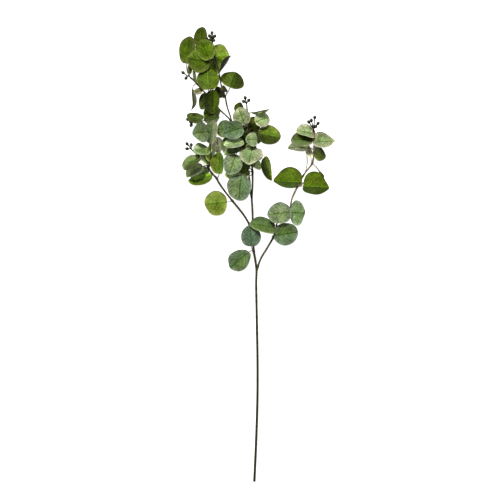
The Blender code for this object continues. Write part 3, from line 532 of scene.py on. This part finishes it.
class Blade:
    """The blade of one leaf: a nearly round sheet, creased along its midrib, with a point at its tip."""

    def __init__(self, leaf):
        chance = random.Random(leaf.name)
        self.leaf = leaf
        self.base, tip = np.array(leaf.base, float), np.array(leaf.tip, float)
        self.length = np.linalg.norm(tip - self.base)
        self.width, self.taper = leaf.width - BLADE_INSET, leaf.taper
        self.along = unit(tip - self.base)
        face = np.array([*leaf.facing, 1.0])
        self.up = leaf.side * unit(face - face.dot(self.along) * self.along)
        self.across = np.cross(self.up, self.along)
        self.point_out, self.notch = chance.uniform(*POINT_RANGE), chance.uniform(*NOTCH_RANGE)
        self.fold = chance.uniform(*FOLD_RANGE) if leaf.fold is None else leaf.fold
        self.arch = chance.uniform(*ARCH_RANGE) * self.length
        self.curl = chance.uniform(*CURL_RANGE) * self.width
        self.wave = chance.uniform(*WAVE_RANGE) * self.width
        self.rim_wave = chance.uniform(*RIM_WAVE_RANGE)
        self.phases = [chance.uniform(0, 2 * math.pi) for _ in range(3)]
        self.shade = chance.uniform(*SHADE_RANGE)

    def reach(self, angle):
        """How far the outline is from the blade's middle, at an angle from its tip, where 1 is round."""
        tip = self.point_out * bell(angle, POINT_SPREAD)
        base = self.notch * bell(math.pi - np.abs(angle), NOTCH_SPREAD)
        waves = np.cos(3 * angle + self.phases[0]) + np.cos(5 * angle + self.phases[1])
        return 1 + tip - base + self.rim_wave * waves

    def surface(self, share, angle):
        """Points of the middle surface, with how far each lies out from the midrib and along it."""
        reach_tip, reach_base = self.reach(0.0), self.reach(math.pi)
        reach = self.reach(angle) * share
        run = (reach * np.cos(angle) + reach_base) / (reach_tip + reach_base)
        out = 0.5 * self.width * reach * np.sin(angle) * (1 - self.taper * share * np.cos(angle))
        height = (
            self.fold * (np.hypot(out, CREASE) - CREASE)
            + self.arch * 4 * run * (1 - run)
            - self.curl * share**4 * np.cos(0.5 * angle) ** 2
            + self.wave * share**3 * np.sin(3 * angle + self.phases[2])
            + self.wave * share**3 * math.sin(self.phases[2]) * np.sin(0.5 * angle) ** 2
        )
        along = run * self.length
        veins = np.cos(2 * math.pi * (along - VEIN_LEAN * np.abs(out)) / VEIN_SPACING)
        veins = veins * np.minimum(1, np.abs(out) / VEIN_FADE)
        height = height + VEIN_HEIGHT * veins * (1 - share**6)
        height = height - MIDRIB_DEPTH * bell(out, MIDRIB_SPREAD) * (1 - share**4)
        points = self.base + along[:, None] * self.along + out[:, None] * self.across
        return points + height[:, None] * self.up, out, along

    def root(self, depth):
        """A point on the midrib, that far in from the base."""
        run = depth / self.length
        return self.base + depth * self.along + self.arch * 4 * run * (1 - run) * self.up

    def seen_tints(self, shares, angles, out):
        """The colours of the face seen from above: a tone for each half with painted light and shade, then
        its margin, then its rim's painted highlight and shade.
        """
        left, right = (np.array(TONES[tone]) for tone in LEAF_TONES[self.leaf.name])
        blend = 0.5 + 0.5 * np.tanh(out * self.leaf.side / HALF_BLEND)
        seen = right + blend[:, None] * (left - right)
        # The rim's painted highlight, tinged pink, and its painted shade, chosen by which way the rim faces.
        outward = (np.sin(angles) * self.across[1] + np.cos(angles) * self.along[1])[:, None]
        highlight_edge = RIM_HIGHLIGHT * seen + RIM_BLUSH * seen.max(axis=1, keepdims=True)
        edge = np.where(outward < RIM_TURN, highlight_edge, RIM_SHADE * seen)
        margin = np.clip((shares - MARGIN_START) / MARGIN_RUN, 0, 1)[:, None]
        for tone, leaves in MARGINS.items():
            if self.leaf.name in leaves:
                margin_tint = seen.max(axis=1, keepdims=True) * tone
                seen = seen + MARGIN_STRENGTH * margin * (margin_tint - seen)
        rim = np.clip((shares - RIM_START) / RIM_RUN, 0, 1)[:, None]
        rim = rim * np.clip(np.abs(outward - RIM_TURN) * 2, 0, RIM_STRENGTH)
        return self.shade * (seen + rim * (edge - seen))

    def add_to(self, body):
        """Adds both faces and the rounded rim."""
        sectors, rings = BLADE_SECTORS, len(BLADE_SHARES) - 1
        angles = np.tile(-math.pi + 2 * math.pi * np.arange(sectors) / sectors, rings)
        shares = np.repeat(BLADE_SHARES[1:], sectors)
        shares, angles = np.concatenate([[0.0], shares]), np.concatenate([[0.0], angles])
        middle, out, along = self.surface(shares, angles)
        half = BLADE_HALF * np.sqrt(np.clip(1 + EDGE_LEAST - shares**EDGE_FADE, EDGE_LEAST, 1))
        middle[:, 2] = np.maximum(middle[:, 2], BLADE_HALF * abs(self.up[2]))
        count = len(middle)
        vertices = np.vstack([middle + half[:, None] * self.up, middle - half[:, None] * self.up])
        seen = self.seen_tints(shares, angles, out)
        hidden = np.tile(self.shade * np.array(TONES[HIDDEN_TONES[self.leaf.side]]), (count, 1))
        tints = np.vstack([seen, hidden] if self.leaf.side == UPPER else [hidden, seen])
        places = np.column_stack([out, along, shares])
        faces = []
        for sector in range(sectors):
            after = (sector + 1) % sectors
            faces.append((0, 1 + sector, 1 + after))
            for ring in range(rings - 1):
                a, b = 1 + ring * sectors + sector, 1 + ring * sectors + after
                faces.append((a, a + sectors, b + sectors, b))
        faces += [tuple(corner + count for corner in reversed(face)) for face in faces]
        rim_start = 1 + (rings - 1) * sectors
        for sector in range(sectors):
            a, b = rim_start + sector, rim_start + (sector + 1) % sectors
            faces.append((a, a + count, b + count, b))
        veined = float(self.leaf.name in PALE_VEINED)
        body.add(vertices, faces, tints, LEAF_SLOT, np.vstack([places, places]), veined)


def add_petiole(body, start, blade, tint):
    """The leaf's own stalk: a curve from the twig's axis that ends inside the blade, along its midrib."""
    base, root = blade.root(0.0), blade.root(PETIOLE_ROOT)
    pull = PETIOLE_PULL * np.linalg.norm(base - start)
    path = []
    for step in range(PETIOLE_STEPS):
        t = step / PETIOLE_STEPS
        bend = start + t * (base - pull * blade.along - start)
        path.append((1 - t) * bend + t * (base - (1 - t) * pull * blade.along))
    points = np.array(path + [base, root])
    points[:, 2] = np.maximum(points[:, 2], PETIOLE_RADIUS)
    radii = np.linspace(*PETIOLE_TAPER, len(points)) * PETIOLE_RADIUS
    radii[-1] = PETIOLE_END
    fades = [min(1.0, PETIOLE_FADE[0] + PETIOLE_FADE[1] * step) for step in range(len(points))]
    tube(body, points, radii, [NODE_TONE + fade * (tint - NODE_TONE) for fade in fades], PETIOLE_SIDES)


def twig_line(twig):
    """The twig's smooth axis, its radius at each point, larger where leaves grow, and the length up to it."""
    points = smooth(twig.path, STEPS_PER_SPAN)
    lengths = np.concatenate([[0], np.cumsum(np.linalg.norm(np.diff(points, axis=0), axis=1))])
    radii = np.linspace(*twig.radii, len(points))
    for node in {leaf.node for leaf in twig.leaves}:
        radii *= 1 + NODE_SWELLING * bell(lengths - lengths[node * STEPS_PER_SPAN], NODE_SPREAD)
    return points, radii, lengths


def add_collar(body, twig):
    """The parent's stub that the twig's foot sits in, thinning to the twig's own width."""
    points, radii, lengths = twig_line(twig)
    inside = lengths <= SOCKET_LENGTH
    wall = SOCKET_WALL * np.sqrt(np.clip(1.05 - (lengths[inside] / SOCKET_LENGTH) ** SOCKET_FADE, 0, 1))
    tube(body, points[inside], radii[inside] + wall, [STEM_TONES[twig.name][0]] * int(inside.sum()))


def add_twig(body, twig):
    """A twig with its leaves, and the collars of the twigs that grow from its side."""
    points, radii, lengths = twig_line(twig)
    start, end = np.array(STEM_TONES[twig.name])
    tints = np.linspace(start, end, len(points))
    for node in {leaf.node for leaf in twig.leaves}:
        near = bell(lengths - lengths[node * STEPS_PER_SPAN], NODE_SHADOW)[:, None]
        tints = tints + NODE_DARKNESS * near * (NODE_TONE - tints)
    if twig.parent is None:
        points[0] += END_TRIM * unit(points[1] - points[0])
        for height in STALK_SCARS:
            near = bell(points[:, 1] - height, SCAR_SPREAD)
            radii = radii + SCAR_HEIGHT * near
            tints = tints + SCAR_DARKNESS * near[:, None] * (NODE_TONE - tints)
    tube(body, points, radii, tints, STALK_TUBE_SIDES if twig.parent is None else TUBE_SIDES)
    for other in TWIGS:
        if other.parent == twig.name and other.fork is not None:
            add_collar(body, other)
    for leaf in twig.leaves:
        blade = Blade(leaf)
        node = np.array(twig.path[leaf.node], float)
        share = leaf.node / (len(twig.path) - 1)
        add_petiole(body, node, blade, LEAF_STALK_LIGHT * (start + share * (end - start)))
        blade.add_to(body)


def add_buds(body, twig):
    """The buds at a twig's end: one stem in line with the twig, and a stalk and a ribbed bud for each."""
    points, _, _ = twig_line(twig)
    ahead = unit(points[-1] - points[-2])
    start = points[-1]
    head = start + BUD_HEAD * (np.mean(twig.buds, axis=0) - start)
    stem = smooth([start, start + BUD_STEM_LEAD * ahead, head], BUD_STEPS)
    radii = np.linspace(twig.radii[1], BUD_STEM_END, len(stem))
    tube(body, stem, radii, [BUD_TONE] * len(stem), BUD_STEM_SIDES)
    for place in twig.buds:
        place = np.array(place, float)
        way = unit(place - head)
        base = place - 0.5 * BUD_LENGTH * way
        line = smooth([start + BUD_LEAD * ahead, head, base + BUD_ROOT * way], BUD_STEPS)
        if np.linalg.norm(base - head) < CLOSE_BUD:
            line = smooth([start + BUD_LEAD * ahead, base + CLOSE_BUD_ROOT * way], 2 * BUD_STEPS)
        tube(body, line, [BUD_STALK_RADIUS] * len(line), [BUD_TONE] * len(line), PETIOLE_SIDES)
        add_bud(body, base, way)


def add_bud(body, base, way):
    """A bud from its base along its way, its cup ribbed and its cap lighter towards the tip, partly in its
    own colour and partly as a painted highlight.
    """
    up = unit(np.array([0.0, 0.0, 1.0]) - way[2] * way)
    across = np.cross(way, up)
    vertices, tints = [], []
    for share, radius in BUD_PROFILE:
        height = RIB_HEIGHT if RIBBED[0] < share < RIBBED[1] else 0.0
        for side in range(BUD_SIDES):
            angle = 2 * math.pi * side / BUD_SIDES
            ribbed = BUD_RADIUS * radius * (1 + height * math.cos(BUD_RIBS * angle))
            around = math.sin(angle) * across - math.cos(angle) * up
            vertices.append(base + share * BUD_LENGTH * way + ribbed * around)
            tints.append(BUD_TONE + share**3 * (BUD_TIP_TONE_AND_HIGHLIGHT - BUD_TONE))
    body.add(vertices, tube_faces(len(BUD_PROFILE), BUD_SIDES), tints, STEM_SLOT)


class Shader:
    """A material whose nodes are made and linked by short calls."""

    def __init__(self, name):
        self.material = bpy.data.materials.new(name)
        self.material.use_nodes = True
        self.tree = self.material.node_tree
        self.surface = self.tree.nodes["Principled BSDF"]
        self.place = self.node("TexCoord").outputs["Object"]

    def node(self, kind, inputs=None, **settings):
        made = self.tree.nodes.new("ShaderNode" + kind)
        for key, value in settings.items():
            setattr(made, key, value)
        for key, value in (inputs or {}).items():
            self.set(made.inputs[key], value)
        return made

    def set(self, socket, value):
        if isinstance(value, bpy.types.NodeSocket):
            self.tree.links.new(value, socket)
        else:
            socket.default_value = value

    def give(self, name, value):
        """Sets the surface's socket of that name."""
        self.set(self.surface.inputs[name], value)

    def math(self, operation, *values):
        return self.node("Math", dict(enumerate(values)), operation=operation).outputs[0]

    def vectors(self, operation, first, second):
        return self.node("VectorMath", {0: first, 1: second}, operation=operation).outputs["Vector"]

    def scale(self, colour, factor):
        return self.node("VectorMath", {0: colour, "Scale": factor}, operation="SCALE").outputs["Vector"]

    def ramp(self, value, low, high, to_low=0.0, to_high=1.0):
        """Maps low to to_low and high to to_high, with a smooth step between and no change beyond."""
        inputs = {"Value": value, "From Min": low, "From Max": high, "To Min": to_low, "To Max": to_high}
        return self.node("MapRange", inputs, interpolation_type="SMOOTHSTEP").outputs["Result"]

    def noise(self, scale, detail=3.0, roughness=0.5):
        inputs = {"Vector": self.place, "Scale": scale, "Detail": detail, "Roughness": roughness}
        return self.node("TexNoise", inputs).outputs["Fac"]

    def mix(self, factor, first, second):
        made = self.node("Mix", data_type="RGBA")
        self.set(made.inputs[0], factor)
        self.set(made.inputs[6], first)
        self.set(made.inputs[7], second)
        return made.outputs[2]

    def bump(self, height, strength, distance):
        inputs = {"Height": height, "Strength": strength, "Distance": distance}
        self.give("Normal", self.node("Bump", inputs).outputs["Normal"])


def leaf_material():
    """A leaf's tint, blotched and speckled, greener along its dark or pale veins, with a fine grain."""
    shader = Shader("leaf")
    attribute = shader.node("Attribute", attribute_name="tint")
    tint, veined = attribute.outputs["Color"], attribute.outputs["Alpha"]
    leaf_place = shader.node("Attribute", attribute_name="place").outputs["Vector"]
    out, along, share = shader.node("SeparateXYZ", {0: leaf_place}).outputs
    away = shader.math("ABSOLUTE", out)

    # Side veins lean out from the midrib and wander a little. phase is 0 on one and 0.5 midway between two.
    wobble = shader.ramp(shader.noise(scale=110.0), 0.2, 0.8, to_low=-3.0, to_high=3.0)
    straight = shader.math("SUBTRACT", along, shader.math("MULTIPLY", away, VEIN_LEAN))
    turn = shader.math("ADD", straight, wobble)
    phase = shader.math("PINGPONG", shader.math("DIVIDE", turn, VEIN_SPACING), 0.5)
    side_vein = shader.math("MULTIPLY", shader.ramp(phase, 0.11, 0.03), 0.8)
    midrib = shader.ramp(away, 1.6, 0.5)
    inside = shader.ramp(share, 0.98, 0.75)
    veins = shader.math("MULTIPLY", shader.math("MAXIMUM", side_vein, midrib), inside)
    near = shader.math("MAXIMUM", shader.ramp(phase, 0.3, 0.05), shader.ramp(away, 4.5, 0.5))
    near = shader.math("MULTIPLY", shader.math("MULTIPLY", near, inside), 0.7)

    blotches = shader.noise(scale=70.0, detail=4.0, roughness=0.62)
    blotches = shader.ramp(blotches, 0.3, 0.7, to_low=0.66, to_high=1.34)
    speckle = shader.noise(scale=300.0, detail=3.0, roughness=0.7)
    speckle = shader.ramp(speckle, 0.32, 0.68, to_low=0.7, to_high=1.3)
    colour = shader.scale(tint, shader.math("MULTIPLY", blotches, speckle))
    colour = shader.mix(near, colour, shader.vectors("MULTIPLY", colour, (0.74, 1.08, 0.42)))
    pale = shader.vectors("ADD", shader.scale(colour, 1.5), (0.02, 0.03, 0.008))
    vein_colour = shader.mix(veined, shader.scale(colour, 0.38), pale)
    shader.give("Base Color", shader.mix(shader.math("MULTIPLY", veins, 0.9), colour, vein_colour))
    shader.give("Roughness", shader.ramp(shader.noise(scale=240.0), 0.2, 0.8, to_low=0.55, to_high=0.72))
    shader.give("Specular IOR Level", 0.06)
    grain = shader.math("MULTIPLY", shader.noise(scale=1500.0, detail=2.0), 0.25)
    height = shader.math("ADD", grain, shader.math("MULTIPLY", veins, 0.6))
    shader.bump(height, strength=0.35, distance=0.0005)
    return shader.material


def stem_material():
    """A stem's tint, streaked and spotted like young bark, with a fine rough grain."""
    shader = Shader("stem")
    tint = shader.node("Attribute", attribute_name="tint").outputs["Color"]
    streaks = shader.noise(scale=130.0, detail=4.0, roughness=0.65)
    streaks = shader.ramp(streaks, 0.28, 0.74, to_low=0.6, to_high=1.5)
    spots = shader.ramp(shader.noise(scale=900.0, detail=2.0), 0.35, 0.7, to_low=0.85, to_high=1.15)
    shader.give("Base Color", shader.scale(tint, shader.math("MULTIPLY", streaks, spots)))
    shader.give("Roughness", shader.ramp(shader.noise(scale=300.0), 0.2, 0.8, to_low=0.45, to_high=0.62))
    shader.give("Specular IOR Level", 0.15)
    shader.bump(shader.noise(scale=1100.0, detail=3.0), strength=0.3, distance=0.0006)
    return shader.material


def floor_material():
    """A plain grey that gives off some white light of its own."""
    shader = Shader("floor")
    grey = shader.ramp(shader.noise(scale=3.0, detail=2.0), 0.0, 1.0, *FLOOR_GREY)
    shader.give("Base Color", shader.node("CombineXYZ", {0: grey, 1: grey, 2: grey}).outputs[0])
    shader.give("Roughness", 0.9)
    shader.give("Emission Color", (1.0, 1.0, 1.0, 1.0))
    shader.give("Emission Strength", FLOOR_GLOW)
    return shader.material


def add_light(name, place, target, size, power):
    data = bpy.data.lights.new(name, "AREA")
    data.shape = "DISK"
    data.size = size
    data.energy = power
    light = bpy.data.objects.new(name, data)
    light.location = place
    light.rotation_euler = (Vector(target) - Vector(place)).to_track_quat("-Z", "Y").to_euler()
    bpy.context.scene.collection.objects.link(light)


def set_stage():
    """The floor, an even white sky, and one soft light from the upper left."""
    floor = bpy.data.meshes.new("floor")
    sides = [(-1, -1), (1, -1), (1, 1), (-1, 1)]
    corners = [(x * FLOOR_HALF, y * FLOOR_HALF, -FLOOR_DEPTH) for x, y in sides]
    floor.from_pydata(corners, [], [(0, 1, 2, 3)])
    floor.materials.append(floor_material())
    ground = bpy.data.objects.new("floor", floor)
    bpy.context.scene.collection.objects.link(ground)
    world = bpy.data.worlds.new("studio")
    world.use_nodes = True
    background = world.node_tree.nodes["Background"]
    background.inputs["Color"].default_value = (1.0, 1.0, 1.0, 1.0)
    background.inputs["Strength"].default_value = SKY_STRENGTH
    bpy.context.scene.world = world
    add_light("key", place=(-0.7, 2.2, 2.6), target=(0.0, 0.15, 0.03), size=0.9, power=215.0)
    bpy.context.scene.view_settings.view_transform = "Standard"


def set_camera():
    """Looks straight down, with the stalk's cut end at the bottom."""
    data = bpy.data.cameras.new("camera")
    data.lens = 250.0
    data.sensor_width = 36.0
    data.clip_end = 100.0
    x, y = ((view - middle) * MM for view, middle in zip(VIEW_MIDDLE, MIDDLE))
    camera = bpy.data.objects.new("camera", data)
    camera.location = (x, y, VIEW_HEIGHT + VIEW_WIDTH * data.lens / data.sensor_width)
    bpy.context.scene.collection.objects.link(camera)
    bpy.context.scene.camera = camera


def add_piece(body, node, materials):
    """The piece that takes the node's place."""
    piece = body.make(node + "_detail", materials)
    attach(piece, "root")
    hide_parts(node)


stem, leafy = stem_material(), leaf_material()
for twig in TWIGS:
    branch = Body()
    add_twig(branch, twig)
    add_piece(branch, twig.name, [stem, leafy])
    if twig.buds:
        spray = Body()
        add_buds(spray, twig)
        add_piece(spray, twig.name.replace("_twig", "_buds"), [stem])
set_stage()
set_camera()
